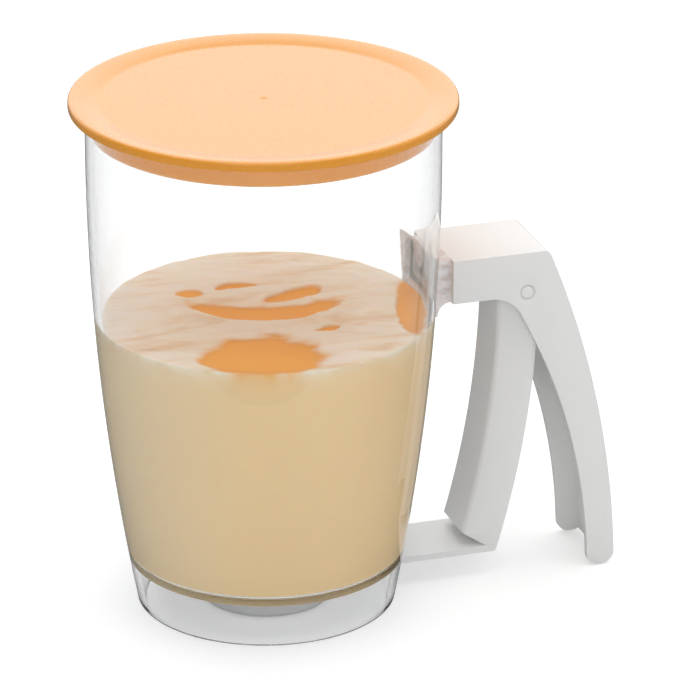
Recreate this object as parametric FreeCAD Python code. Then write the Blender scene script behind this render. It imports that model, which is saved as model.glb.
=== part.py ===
import FreeCAD, Part
import math
import os

from FreeCAD import Vector

os.makedirs("parts", exist_ok=True)

# A hand held batter dispenser. Millimetres, +Z up, +X towards the handle.
# The origin is on the table, on the axis of the cup.

# Cup
cup_height = 184.0
cup_mouth_r = 61.7
cup_base_r = 45.9
cup_straight_from = 165.0
cup_wall = 2.4
floor_edge_z = 18.0
floor_fall = 2.6
floor_thick = 2.0
outlet_r = 9.5
outlet_wall = 2.6
outlet_lip_z = 13.0
floor_corner_r = 4.0
mouth_edge_r = 0.8

# Opening in the skirt for the arm of the lever
skirt_gap_half = 15.5
skirt_gap_top = 14.6
skirt_gap_corner_r = 2.5

# Lid
lid_rim_r = 67.4
lid_rim_height = 3.6
lid_rim_edge_r = 1.1
lid_dish_r = 57.0
lid_dish_depth = 1.3
plug_wall = 2.2
plug_depth = 8.0
plug_clearance = 0.4
gate_mark_r = 1.6
gate_mark_depth = 0.3

# Bracket and fixed grip, one moulding
handle_width = 33.0
handle_wall = 2.5
handle_edge_r = 2.0
bracket_gap = 2.4
bracket_top = 124.5
bracket_height = 16.1
bracket_floor = 14.9
grip_tip_z = 0.6
grip_tip_r = 4.2
corner_r = 3.0

# Side outline of the grip, as points that its curves pass through; each reach runs
# outwards from the end of the bracket
back_top_reach = 35.7
back_middle_reach = 52.9
back_middle_z = 72.7
back_low_reach = 62.6
inner_low_reach = 52.2
inner_middle_reach = 43.2
inner_middle_z = 58.6
inner_high_reach = 26.2
inner_high_z = 100.0
throat_middle_reach = 22.1
throat_middle_z = 105.6

# Lug on the cup and the tongue that the bracket slides over
tongue_fit = 0.15
tongue_reach = 14.4
tongue_half = 10.8
tongue_height = 8.0
lug_gusset = 5.0
lug_sink = 0.4
lug_corner_r = 2.5

# Pivot
pivot_reach = 27.7
pivot_z = 109.6
pin_r = 2.3
pin_fit = 0.05
pin_sink_r = 2.9
pin_sink_depth = 0.8
pin_end_chamfer = 0.4

# Lever, a channel open to the rear, and its arm
lever_front_half = 10.5
lever_side_gap = 0.5
lever_depth = 14.0
lever_flat = 2.0
lever_wall = 2.2
lever_edge_r = 1.6
lever_inner_edge_r = 0.8
hub_r = 7.5
lever_foot_front_z = 17.1
lever_foot_rear_z = 10.6
lever_heel_flat = 1.5
arm_thick = 2.4
arm_top = 12.1

# Side outline of the lever, as points that its curves pass through
front_top_reach = 18.8
front_top_z = 105.0
front_middle_reach = 16.6
front_middle_z = 70.0
front_foot_reach = 6.1
rear_middle_z = 60.0
rear_high_z = 90.0

# Valve cap and its silicone seal
cap_r = 24.0
cap_bottom = 0.8
cap_top = 9.7
cap_shoulder_drop = 0.7
cap_wall = 2.2
cap_edge_r = 2.0
cap_rib = 1.6
cap_ribs = 3
seal_r = 13.5
seal_sink = 1.4
seal_fit = 0.1
seal_gap = 0.05
seal_dome_r = 7.6
seal_dome_flat_r = 2.5
seal_dome_height = 1.2
seat_r = 16.0

# Return spring round the pin
wire_r = 0.55
coil_play = 0.3
coil_turns = 3
coil_pitch = 1.65
lever_leg = 16.0
leg_play = 0.3

# Screws that hold the bracket on the tongue
screw_r = 1.5
screw_head_r = 2.9
screw_head_height = 1.8
screw_head_chamfer = 1.0
screw_depth = 9.5
screw_spread = 7.5
screw_reach = 7.4
screw_fit = 0.05

# How far a cutting shape stands out of what it cuts
over = 1.0

bracket_start = cup_mouth_r + bracket_gap
bracket_floor_end = bracket_start + bracket_floor
tongue_end = bracket_start + tongue_reach
pivot_x = bracket_start + pivot_reach
screw_x = bracket_start + screw_reach
handle_half = handle_width / 2
cheek_half = handle_half - handle_wall
bracket_bottom = bracket_top - bracket_height
lever_rear_half = cheek_half - lever_side_gap
arm_bottom = arm_top - arm_thick
cap_shoulder = cap_top - cap_shoulder_drop
tongue_low = bracket_bottom + handle_wall + tongue_fit
tongue_high = tongue_low + tongue_height
coil_r = pin_r + coil_play + wire_r

# The side of the cup is one arc that is upright where the straight band starts
taper = cup_mouth_r - cup_base_r
side_r = (cup_straight_from**2 + taper**2) / (2 * taper)


def cup_radius(z):
    """Outer radius of the cup at a height."""
    below = max(0.0, cup_straight_from - z)
    return cup_mouth_r - side_r + math.sqrt(side_r**2 - below**2)


def line(a, b):
    return Part.LineSegment(a, b).toShape()


def arc(a, middle, b):
    return Part.Arc(a, middle, b).toShape()


def at(x, z):
    """A point of a side outline, in the plane of symmetry."""
    return Vector(x, 0, z)


def revolved(edges):
    face = Part.Face(Part.Wire(edges))
    return face.revolve(Vector(0, 0, 0), Vector(0, 0, 1), 360)


def across(edges, half):
    """A side outline pulled the same distance to both sides."""
    face = Part.Face(Part.Wire(edges))
    face.translate(Vector(0, -half, 0))
    return face.extrude(Vector(0, 2 * half, 0))


def polygon(points):
    return [line(points[i], points[(i + 1) % len(points)]) for i in range(len(points))]


def upright(x, y, z, radius, height):
    return Part.makeCylinder(radius, height, Vector(x, y, z))


def crossways(x, z, radius, half):
    return Part.makeCylinder(radius, 2 * half, Vector(x, -half, z), Vector(0, 1, 0))


def edges_at(shape, point):
    """Edges that run across the piece through a point of its side outline."""
    return [e for e in shape.Edges
            if e.BoundBox.YLength > 1 and Vector(e.BoundBox.XMin, 0, e.BoundBox.ZMin)
            .distanceToPoint(point) < 0.01]


def save(shape, name):
    """Write one piece as a solid, or a group of like solids."""
    solids = [s for s in shape.removeSplitter().Solids]
    whole = solids[0] if len(solids) == 1 else Part.makeCompound(solids)
    whole.exportStep("parts/" + name + ".step")
    box = whole.BoundBox
    print(name, len(solids), whole.isValid(), round(whole.Volume, 1),
          [round(v, 2) for v in (box.XMin, box.YMin, box.ZMin, box.XMax, box.YMax, box.ZMax)])


def side_arc(inset, low, high):
    """The tapered side as one arc, moved inwards by an inset."""
    middle = (low + high) / 2
    return arc(at(cup_radius(low) - inset, low),
               at(cup_radius(middle) - inset, middle),
               at(cup_radius(high) - inset, high))


floor_edge_r = cup_radius(floor_edge_z) - cup_wall
corner_z = floor_edge_z + floor_corner_r
floor_inner_z = floor_edge_z - floor_fall


def floor_z(radius):
    """Height of the chamber's floor, a shallow funnel."""
    share = (radius - outlet_r) / (floor_edge_r - outlet_r)
    return floor_inner_z + floor_fall * share


def chamber():
    """The space inside the cup, with the outlet below it."""
    corner_r = floor_edge_r - floor_corner_r
    bend = floor_corner_r * (1 - math.sqrt(0.5))
    wall_r = cup_radius(corner_z) - cup_wall
    edges = [
        line(at(0, outlet_lip_z - over), at(outlet_r, outlet_lip_z - over)),
        line(at(outlet_r, outlet_lip_z - over), at(outlet_r, floor_inner_z)),
        line(at(outlet_r, floor_inner_z), at(corner_r, floor_z(corner_r))),
        arc(at(corner_r, floor_z(corner_r)),
            at(floor_edge_r - bend, floor_edge_z + bend),
            at(wall_r, corner_z)),
        side_arc(cup_wall, corner_z, cup_straight_from),
        line(at(cup_mouth_r - cup_wall, cup_straight_from),
             at(cup_mouth_r - cup_wall, cup_height + over)),
        line(at(cup_mouth_r - cup_wall, cup_height + over), at(0, cup_height + over)),
        line(at(0, cup_height + over), at(0, outlet_lip_z - over)),
    ]
    return revolved(edges)


def skirt_space():
    """The space under the floor, round the neck of the outlet."""
    neck_r = outlet_r + outlet_wall
    top_r = cup_radius(floor_edge_z - floor_thick) - cup_wall
    edges = [
        line(at(0, -over), at(cup_radius(0) - cup_wall, -over)),
        line(at(cup_radius(0) - cup_wall, -over), at(cup_radius(0) - cup_wall, 0)),
        side_arc(cup_wall, 0, floor_edge_z - floor_thick),
        line(at(top_r, floor_edge_z - floor_thick), at(neck_r, floor_z(neck_r) - floor_thick)),
        line(at(neck_r, floor_z(neck_r) - floor_thick), at(neck_r, outlet_lip_z)),
        line(at(neck_r, outlet_lip_z), at(0, outlet_lip_z)),
        line(at(0, outlet_lip_z), at(0, -over)),
    ]
    return revolved(edges)


def skirt_gap():
    """The notch that lets the arm of the lever through the skirt."""
    block = Part.makeBox(cup_mouth_r, 2 * skirt_gap_half, skirt_gap_top + over,
                         Vector(0, -skirt_gap_half, -over))
    top = [e for e in block.Edges
           if e.BoundBox.ZMin > skirt_gap_top - 0.01 and e.BoundBox.YLength < 0.01]
    block = block.makeFillet(skirt_gap_corner_r, top)
    inner = upright(0, 0, -over, cup_radius(0) - 2 * cup_wall, skirt_gap_top + 2 * over)
    return block.cut(inner)


def lug():
    """The lug outside the bracket, with a gusset that runs down the wall."""
    wall_x = cup_radius(bracket_bottom) - cup_wall
    foot_z = bracket_bottom - lug_gusset
    foot_x = cup_radius(foot_z) - lug_sink
    bend = lug_gusset * (1 - math.sqrt(0.5))
    edges = [
        line(at(wall_x, foot_z), at(foot_x, foot_z)),
        arc(at(foot_x, foot_z), at(foot_x + bend, bracket_bottom - bend),
            at(bracket_start, bracket_bottom)),
        line(at(bracket_start, bracket_bottom), at(bracket_start, bracket_top)),
        line(at(bracket_start, bracket_top), at(wall_x, bracket_top)),
        line(at(wall_x, bracket_top), at(wall_x, foot_z)),
    ]
    block = across(edges, cheek_half)
    top = [e for e in block.Edges
           if e.BoundBox.ZMin > bracket_top - 0.01 and e.BoundBox.YLength < 0.01]
    block = block.makeFillet(lug_corner_r, top)
    tongue = Part.makeBox(tongue_end - wall_x, 2 * tongue_half, tongue_height,
                          Vector(wall_x, -tongue_half, tongue_low))
    ends = [e for e in tongue.Edges
            if e.BoundBox.XMin > tongue_end - 0.01 and e.BoundBox.YLength < 0.01]
    tongue = tongue.makeFillet(lug_corner_r, ends)
    return block.fuse(tongue)


def screw_places():
    return [(screw_x, side * screw_spread) for side in (-1, 1)]


def make_cup():
    neck_r = outlet_r + outlet_wall
    edges = [
        line(at(0, 0), at(cup_base_r, 0)),
        side_arc(0, 0, cup_straight_from),
        line(at(cup_mouth_r, cup_straight_from), at(cup_mouth_r, cup_height)),
        line(at(cup_mouth_r, cup_height), at(0, cup_height)),
        line(at(0, cup_height), at(0, 0)),
    ]
    body = revolved(edges).fuse(lug())
    body = body.cut(chamber()).cut(skirt_space()).cut(skirt_gap())
    rim = [e for e in body.Edges
           if e.BoundBox.ZMin > cup_height - 0.01 and e.BoundBox.XLength > 2 * neck_r]
    body = body.makeFillet(mouth_edge_r, rim)
    for x, y in screw_places():
        hole = upright(x, y, bracket_bottom, screw_r, screw_depth + handle_wall)
        body = body.cut(hole)
    return body


def make_lid():
    top = cup_height + lid_rim_height
    dish = top - lid_dish_depth
    plug_r = cup_mouth_r - cup_wall - plug_clearance
    low = cup_height - plug_depth
    soft = lid_rim_edge_r
    bend = soft * (1 - math.sqrt(0.5))
    rise = (lid_dish_r + lid_rim_r - soft) / 2
    nose = plug_wall / 2
    edges = [
        line(at(0, dish - gate_mark_depth), at(gate_mark_r, dish - gate_mark_depth)),
        line(at(gate_mark_r, dish - gate_mark_depth), at(gate_mark_r, dish)),
        line(at(gate_mark_r, dish), at(lid_dish_r, dish)),
        arc(at(lid_dish_r, dish), at(rise, dish + lid_dish_depth * 0.7), at(lid_rim_r - soft, top)),
        arc(at(lid_rim_r - soft, top), at(lid_rim_r - bend, top - bend), at(lid_rim_r, top - soft)),
        line(at(lid_rim_r, top - soft), at(lid_rim_r, cup_height + soft)),
        arc(at(lid_rim_r, cup_height + soft), at(lid_rim_r - bend, cup_height + bend),
            at(lid_rim_r - soft, cup_height)),
        line(at(lid_rim_r - soft, cup_height), at(plug_r, cup_height)),
        line(at(plug_r, cup_height), at(plug_r, low + nose)),
        arc(at(plug_r, low + nose), at(plug_r - nose, low), at(plug_r - plug_wall, low + nose)),
        line(at(plug_r - plug_wall, low + nose), at(plug_r - plug_wall, cup_height)),
        line(at(plug_r - plug_wall, cup_height), at(0, cup_height)),
        line(at(0, cup_height), at(0, dish - gate_mark_depth)),
    ]
    return revolved(edges)


# The back of the grip is one long arc from the top corner to the tip
back_top = at(bracket_start + back_top_reach, bracket_top)
back_middle = at(bracket_start + back_middle_reach, back_middle_z)
back_low = at(bracket_start + back_low_reach, grip_tip_z)
inner_low = at(bracket_start + inner_low_reach, grip_tip_z)
inner_middle = at(bracket_start + inner_middle_reach, inner_middle_z)
inner_high = at(bracket_start + inner_high_reach, inner_high_z)
throat_middle = at(bracket_start + throat_middle_reach, throat_middle_z)
throat_start = at(bracket_floor_end, bracket_bottom)


def moved_in(point, towards, by):
    """A point moved towards another by a distance."""
    way = towards.sub(point)
    return point.add(way.multiply(by / way.Length))


def grip_outline():
    return [
        line(at(bracket_start, bracket_bottom), throat_start),
        arc(throat_start, throat_middle, inner_high),
        arc(inner_high, inner_middle, inner_low),
        line(inner_low, back_low),
        arc(back_low, back_middle, back_top),
        line(back_top, at(bracket_start, bracket_top)),
        line(at(bracket_start, bracket_top), at(bracket_start, bracket_bottom)),
    ]


def rounded_tip():
    """A block round the whole grip whose low end has the rounding of the tip."""
    width = back_low.x - inner_low.x
    block = Part.makeBox(width, handle_width, 3 * handle_width,
                         Vector(inner_low.x, -handle_half, grip_tip_z))
    low = edges_at(block, inner_low) + edges_at(block, back_low)
    block = block.makeFillet(grip_tip_r, low)
    rest = Part.makeBox(back_low.x, handle_width, bracket_top,
                        Vector(0, -handle_half, grip_tip_z + grip_tip_r))
    return block.fuse(rest)


def back_x(z):
    """Outer face of the back of the grip at a height."""
    curve = arc(back_low, back_middle, back_top).Curve
    return curve.Center.x + math.sqrt(curve.Radius**2 - (z - curve.Center.z)**2)


def grip_hollow():
    """The channel inside the grip, which runs out below, and the inside of the bracket."""
    centre = arc(back_low, back_middle, back_top).Curve.Center
    low = at(back_x(grip_tip_z - over) - handle_wall, grip_tip_z - over)
    middle = moved_in(back_middle, centre, handle_wall)
    high = moved_in(back_top, centre, handle_wall)
    roof = bracket_top - handle_wall
    floor = bracket_bottom + handle_wall
    start = bracket_start + handle_wall
    edges = [
        line(at(start, floor), at(bracket_floor_end, floor)),
        line(at(bracket_floor_end, floor), at(bracket_floor_end, low.z)),
        line(at(bracket_floor_end, low.z), low),
        arc(low, middle, high),
        line(high, at(high.x - handle_wall, high.z)),
        line(at(high.x - handle_wall, high.z), at(high.x - handle_wall, roof)),
        line(at(high.x - handle_wall, roof), at(start, roof)),
        line(at(start, roof), at(start, floor)),
    ]
    slot_half = tongue_half + tongue_fit
    slot = Part.makeBox(handle_wall + 2 * over, 2 * slot_half, tongue_height + 2 * tongue_fit,
                        Vector(bracket_start - over, -slot_half, floor))
    return across(edges, cheek_half).fuse(slot)


def make_handle():
    body = across(grip_outline(), handle_half)
    body = body.makeFillet(corner_r, edges_at(body, back_top))
    # The soft outer edge runs on from the top line round the corner and down the back
    top = [e for e in body.Edges
           if e.BoundBox.YLength < 0.01 and e.BoundBox.ZMin > bracket_top - 0.01]
    body = body.makeFillet(handle_edge_r, top)
    body = body.common(rounded_tip())
    body = body.cut(grip_hollow())
    body = body.cut(crossways(pivot_x, pivot_z, pin_r, handle_half + over))
    for side in (-1, 1):
        face_y = side * handle_half
        sink = Part.makeCylinder(pin_sink_r, 2 * pin_sink_depth,
                                 Vector(pivot_x, face_y - pin_sink_depth, pivot_z), Vector(0, 1, 0))
        body = body.cut(sink)
    for x, y in screw_places():
        hole = upright(x, y, bracket_bottom - over, screw_r + screw_fit, handle_wall + 2 * over)
        body = body.cut(hole)
    return body


def make_pin():
    pin = crossways(pivot_x, pivot_z, pin_r, handle_half)
    rims = [e for e in pin.Edges if e.BoundBox.YLength < 0.01]
    return pin.makeChamfer(pin_end_chamfer, rims)


# Front line of the lever, one arc from beside the pivot to the foot
front_top = at(bracket_start + front_top_reach, front_top_z)
front_middle = at(bracket_start + front_middle_reach, front_middle_z)
front_foot = at(bracket_start + front_foot_reach, lever_foot_front_z)
front_curve = arc(front_top, front_middle, front_foot).Curve
front_centre = front_curve.Center
front_r = front_curve.Radius


def front_x(z):
    """Front face of the lever at a height; it stays upright above its arc."""
    height = min(z, front_top.z) - front_centre.z
    return front_centre.x + math.sqrt(front_r**2 - height**2)


def lever_section(z, inset, rear):
    """A level section: a trapezoid with rounded front corners."""
    x0 = front_x(z) + inset
    x1 = front_x(z) + rear
    slope = (lever_rear_half - lever_front_half) / (lever_depth - lever_flat)
    half0 = lever_front_half + slope * inset - inset
    half1 = lever_front_half + slope * rear - inset
    soft = max(lever_edge_r - inset, lever_inner_edge_r)
    side_way = Vector(1, slope, 0).normalize()
    corner = Vector(x0, half0, z)
    along = corner.add(Vector(side_way.x * soft, side_way.y * soft, 0))
    inward = corner.add(Vector(0, -soft, 0))
    pull = (1 - math.sqrt(0.5)) * soft
    belly = corner.add(Vector(pull, -pull, 0))

    def other(p):
        return Vector(p.x, -p.y, p.z)

    rear_corner = Vector(x1, half1, z)
    edges = [
        line(other(inward), inward),
        arc(inward, belly, along),
        line(along, rear_corner),
        line(rear_corner, other(rear_corner)),
        line(other(rear_corner), other(along)),
        arc(other(along), other(belly), other(inward)),
    ]
    return Part.Wire(edges)


def lever_channel(inset, rear, low, high):
    steps = 7
    heights = [low + (high - low) * i / (steps - 1) for i in range(steps)]
    return Part.makeLoft([lever_section(z, inset, rear) for z in heights], True)


# The foot slants from the front line down to the heel, where the arm starts
heel_x = front_x(lever_foot_rear_z) + lever_depth
foot_run = heel_x - lever_heel_flat - front_foot.x
foot_slope = (lever_foot_front_z - lever_foot_rear_z) / foot_run


def foot_z(x):
    return lever_foot_front_z - (x - front_foot.x) * foot_slope


def lever_side():
    """Side outline of the lever, with its round hub; its front stands clear of the channel."""
    outside = front_foot.x - over
    rear_foot = at(heel_x, lever_foot_rear_z)
    flat_start = at(heel_x - lever_heel_flat, lever_foot_rear_z)
    rear_middle = at(front_x(rear_middle_z) + lever_depth, rear_middle_z)
    rear_high = at(front_x(rear_high_z) + lever_depth, rear_high_z)
    rear_top = at(pivot_x + hub_r, pivot_z)
    hub_top = at(pivot_x, pivot_z + hub_r)
    front_hub = at(pivot_x - hub_r, pivot_z)
    return [
        line(at(outside, foot_z(outside)), flat_start),
        line(flat_start, rear_foot),
        arc(rear_foot, rear_middle, rear_high),
        line(rear_high, rear_top),
        arc(rear_top, hub_top, front_hub),
        line(front_hub, at(front_top.x - over, front_top.z)),
        line(at(front_top.x - over, front_top.z), at(front_top.x - over, rear_high_z)),
        line(at(front_top.x - over, rear_high_z), at(outside, rear_middle_z)),
        line(at(outside, rear_middle_z), at(outside, foot_z(outside))),
    ]


def arm():
    """The flat arm that runs from the heel of the lever to under the outlet."""
    half = lever_rear_half
    plate = Part.makeBox(heel_x, 2 * half, arm_thick, Vector(0, -half, arm_bottom))
    heel_edge = [e for e in plate.Edges
                 if e.BoundBox.XMin > heel_x - 0.01 and e.BoundBox.ZMax < arm_bottom + 0.01]
    plate = plate.makeFillet(arm_thick / 2, heel_edge)
    seat = upright(0, 0, arm_bottom, seat_r, arm_thick)
    pocket = upright(0, 0, arm_top - seal_sink, seal_r + seal_fit, seal_sink + over)
    return plate.fuse(seat).cut(pocket)


def make_lever():
    top = pivot_z + hub_r + over
    low = arm_bottom - over
    outside = lever_channel(0, lever_depth + 2 * over, low, top)
    body = outside.common(across(lever_side(), lever_rear_half))
    inside = lever_channel(lever_wall, lever_depth + 4 * over, low, top + over)
    # The inside has a floor one wall above the slanted foot, down to the top of the arm
    lift = lever_wall * math.sqrt(1 + foot_slope**2)
    front = front_foot.x - lever_depth
    back = front_foot.x + 4 * lever_depth
    meet = front_foot.x + (lever_foot_front_z + lift - arm_top) / foot_slope
    keep = across(polygon([
        at(front, foot_z(front) + lift),
        at(meet, arm_top),
        at(back, arm_top),
        at(back, top + 2 * over),
        at(front, top + 2 * over),
    ]), handle_half)
    body = body.cut(inside.common(keep))
    body = body.fuse(arm())
    return body.cut(crossways(pivot_x, pivot_z, pin_r + pin_fit, handle_half))


def make_cap():
    """A shallow cap, open below and stiffened by ribs, clipped under the arm's seat."""
    soft = cap_edge_r
    bend = soft * (1 - math.sqrt(0.5))
    edges = [
        line(at(0, cap_bottom), at(cap_r - soft, cap_bottom)),
        arc(at(cap_r - soft, cap_bottom), at(cap_r - bend, cap_bottom + bend),
            at(cap_r, cap_bottom + soft)),
        line(at(cap_r, cap_bottom + soft), at(cap_r, cap_shoulder)),
        line(at(cap_r, cap_shoulder), at(seat_r, cap_top)),
        line(at(seat_r, cap_top), at(0, cap_top)),
        line(at(0, cap_top), at(0, cap_bottom)),
    ]
    body = revolved(edges)
    depth = cap_shoulder - cap_wall - cap_bottom
    hollow = upright(0, 0, cap_bottom - over, cap_r - cap_wall, depth + over)
    for i in range(cap_ribs):
        rib = Part.makeBox(2 * cap_r, cap_rib, cap_top, Vector(-cap_r, -cap_rib / 2, 0))
        rib.rotate(Vector(0, 0, 0), Vector(0, 0, 1), 180 * i / cap_ribs)
        hollow = hollow.cut(rib)
    return body.cut(hollow)


def make_seal():
    low = arm_top - seal_sink
    high = outlet_lip_z - seal_gap
    peak = high + seal_dome_height
    middle = (seal_dome_r + seal_dome_flat_r) / 2
    edges = [
        line(at(0, low), at(seal_r, low)),
        line(at(seal_r, low), at(seal_r, high)),
        line(at(seal_r, high), at(seal_dome_r, high)),
        arc(at(seal_dome_r, high), at(middle, high + seal_dome_height * 0.7),
            at(seal_dome_flat_r, peak)),
        line(at(seal_dome_flat_r, peak), at(0, peak)),
        line(at(0, peak), at(0, low)),
    ]
    return revolved(edges)


def make_screws():
    screws = []
    for x, y in screw_places():
        head = upright(x, y, bracket_bottom - screw_head_height, screw_head_r, screw_head_height)
        rim = [e for e in head.Edges if e.BoundBox.ZMax < bracket_bottom - screw_head_height + 0.01]
        head = head.makeChamfer(screw_head_chamfer, rim)
        screws.append(head.fuse(upright(x, y, bracket_bottom, screw_r, screw_depth)))
    return Part.makeCompound(screws)


def biarc(p0, t0, p1, t1):
    """Two arcs that leave one point and reach another along given directions."""
    chord = p1.sub(p0)
    turn = t0.add(t1)
    a = 2 * (1 - t0.dot(t1))
    b = 2 * chord.dot(turn)
    c = -chord.dot(chord)
    if abs(a) < 1e-9:
        reach = -c / b
    else:
        reach = (-b + math.sqrt(b * b - 4 * a * c)) / (2 * a)
    c0 = p0.add(Vector(t0).multiply(reach))
    c1 = p1.sub(Vector(t1).multiply(reach))
    joint = c0.add(c1).multiply(0.5)
    return [tangent_arc(p0, c0, joint), tangent_arc(joint, c1, p1)]


def tangent_arc(a, corner, b):
    """The arc that touches both legs of a corner at equal distances."""
    middle = a.add(b).multiply(0.5)
    half_chord = a.sub(middle).Length
    rise = corner.sub(middle).Length
    leg = a.sub(corner).Length
    radius = leg * half_chord / rise
    centre_way = math.sqrt(radius**2 + leg**2)
    way = middle.sub(corner)
    belly = corner.add(way.multiply((centre_way - radius) / way.Length))
    return arc(a, belly, b)


def make_spring():
    """Torsion spring: curls round the pin, one leg on the lever and one on the grip."""
    half_length = coil_turns * coil_pitch / 2
    rate = coil_pitch / (2 * math.pi)
    # One leg leans on the front wall of the lever, the other one points at the back of the grip
    lean_to = front_x(pivot_z - lever_leg) + lever_wall + wire_r + leg_play
    reach = math.hypot(coil_r, lever_leg)
    lean = math.asin((pivot_x - lean_to) / reach) - math.atan2(coil_r, lever_leg)
    # Marks along the coil, in turns; the last quarter brings the leg round to the grip
    marks = [i / 2 for i in range(2 * coil_turns + 1)] + [coil_turns + 0.25]
    points = []
    ways = []
    for mark in marks:
        angle = math.pi - lean - 2 * math.pi * mark
        y = -half_length + coil_pitch * mark
        points.append(Vector(pivot_x + coil_r * math.cos(angle), y,
                             pivot_z + coil_r * math.sin(angle)))
        ways.append(Vector(coil_r * math.sin(angle), rate, -coil_r * math.cos(angle)).normalize())
    start = points[0].sub(Vector(ways[0]).multiply(lever_leg))
    grip_leg = (back_x(points[-1].z) - handle_wall - leg_play - points[-1].x) / ways[-1].x
    end = points[-1].add(Vector(ways[-1]).multiply(grip_leg - wire_r))
    edges = [line(start, points[0])]
    for i in range(len(marks) - 1):
        edges += biarc(points[i], ways[i], points[i + 1], ways[i + 1])
    edges.append(line(points[-1], end))
    path = Part.Wire(edges)
    ring = Part.Wire(Part.makeCircle(wire_r, start, ways[0]))
    tube = path.makePipeShell([ring], True, False)
    length = sum(e.Length for e in edges)
    print("spring volume over section times length",
          round(tube.Volume / (math.pi * wire_r**2 * length), 4))
    print("spring least gap to itself", round(least_gap(path), 3))
    return tube


def least_gap(path):
    """Least clear gap between points of the wire that lie over a half turn apart."""
    count = 600
    points = path.discretize(count)
    apart = math.ceil(math.pi * coil_r / (path.Length / (count - 1)))
    nearest = min(points[i].distanceToPoint(points[j])
                  for i in range(count) for j in range(i + apart, count))
    return nearest - 2 * wire_r


save(make_cup(), "cup")
save(make_lid(), "lid")
save(make_handle(), "handle")
save(make_pin(), "pivot_pin")
save(make_lever(), "trigger_lever")
save(make_cap(), "valve_cap")
save(make_seal(), "outlet_seal")
save(make_spring(), "return_spring")
save(make_screws(), "handle_screws")
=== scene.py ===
import math

import bmesh
import bpy
from bpy.props import FloatProperty, FloatVectorProperty, PointerProperty
from mathutils import Matrix, Vector, noise


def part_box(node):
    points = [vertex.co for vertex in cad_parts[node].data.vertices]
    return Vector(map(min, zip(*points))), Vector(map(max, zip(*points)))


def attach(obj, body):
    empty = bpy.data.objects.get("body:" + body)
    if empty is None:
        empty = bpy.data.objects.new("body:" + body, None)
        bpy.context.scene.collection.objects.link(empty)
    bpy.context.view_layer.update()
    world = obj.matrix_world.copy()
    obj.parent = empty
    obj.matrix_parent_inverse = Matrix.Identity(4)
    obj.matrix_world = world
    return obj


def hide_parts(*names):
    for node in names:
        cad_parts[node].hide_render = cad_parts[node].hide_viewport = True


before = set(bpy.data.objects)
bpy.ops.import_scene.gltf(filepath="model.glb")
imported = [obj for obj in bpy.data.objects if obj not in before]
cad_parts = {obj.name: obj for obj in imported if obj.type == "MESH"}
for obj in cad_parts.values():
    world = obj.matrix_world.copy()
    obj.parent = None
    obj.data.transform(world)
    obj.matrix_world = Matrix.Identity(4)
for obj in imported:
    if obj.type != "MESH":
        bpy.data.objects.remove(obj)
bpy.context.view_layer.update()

bl_info = {
    "name": "Batter dispenser",
    "version": (1, 0, 0),
    "blender": (4, 5, 0),
    "location": "View3D > Sidebar > Dispenser",
    "description": "Models and dresses a hand held batter dispenser round its packed frame",
    "category": "Object",
}

# All sizes below are in metres, in the frame's own axes
MM = 0.001
# How far the middle of a rounded right angle draws in, as a share of its radius
BEND = 1 - math.sqrt(0.5)

BODY = "dispenser"
LID_BODY = "lid"
TRIGGER_BODY = "trigger"

cup_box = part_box("cup")
lid_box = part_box("lid")
handle_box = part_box("handle")
pin_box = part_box("pivot_pin")
cap_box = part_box("valve_cap")
seal_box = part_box("outlet_seal")

CUP_HEIGHT = cup_box[1][2]
MOUTH_R = -cup_box[0][0]
TONGUE_END = cup_box[1][0]
LID_R = lid_box[1][1]
LID_TOP = lid_box[1][2]
PLUG_LOW = lid_box[0][2]
BRACKET_START = handle_box[0][0]
HANDLE_HALF = handle_box[1][1]
BRACKET_TOP = handle_box[1][2]
GRIP_TIP_Z = handle_box[0][2]
GRIP_BACK = handle_box[1][0]
PIVOT = Vector(((pin_box[0][0] + pin_box[1][0]) / 2, 0, (pin_box[0][2] + pin_box[1][2]) / 2))
PIN_R = (pin_box[1][2] - pin_box[0][2]) / 2
CAP_R = cap_box[1][1]
SEAL_R = seal_box[1][1]


class CupSizes(bpy.types.PropertyGroup):
    wall: FloatProperty(name="Wall", description="Thickness of the clear wall",
                        default=2.4 * MM, unit="LENGTH")
    base_radius: FloatProperty(name="Base radius", description="Outer radius where the skirt stands",
                               default=45.9 * MM, unit="LENGTH")
    straight_from: FloatProperty(name="Straight from", description="Height where the taper ends",
                                 default=165 * MM, unit="LENGTH")
    floor_edge: FloatProperty(name="Floor edge", description="Height of the chamber's floor at its edge",
                              default=18 * MM, unit="LENGTH")
    floor_fall: FloatProperty(name="Floor fall", description="Drop of the floor towards the outlet",
                              default=2.6 * MM, unit="LENGTH")
    floor_thick: FloatProperty(name="Floor thickness", description="Thickness of the chamber's floor",
                               default=2.0 * MM, unit="LENGTH")
    outlet_radius: FloatProperty(name="Outlet radius", description="Inner radius of the outlet",
                                 default=9.5 * MM, unit="LENGTH")
    outlet_wall: FloatProperty(name="Outlet wall", description="Wall of the outlet's neck",
                               default=2.6 * MM, unit="LENGTH")
    outlet_lip: FloatProperty(name="Outlet lip", description="Height of the outlet's lip",
                              default=13 * MM, unit="LENGTH")
    gap_half: FloatProperty(name="Skirt gap", description="Half the width of the gap for the arm",
                            default=15.5 * MM, unit="LENGTH")
    gap_top: FloatProperty(name="Skirt gap height", description="Top of the gap for the arm",
                           default=14.6 * MM, unit="LENGTH")
    tint: FloatVectorProperty(name="Tint", description="Colour of the clear plastic", size=3,
                              subtype="COLOR", min=0, max=1, default=(0.995, 0.997, 0.998))


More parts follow.
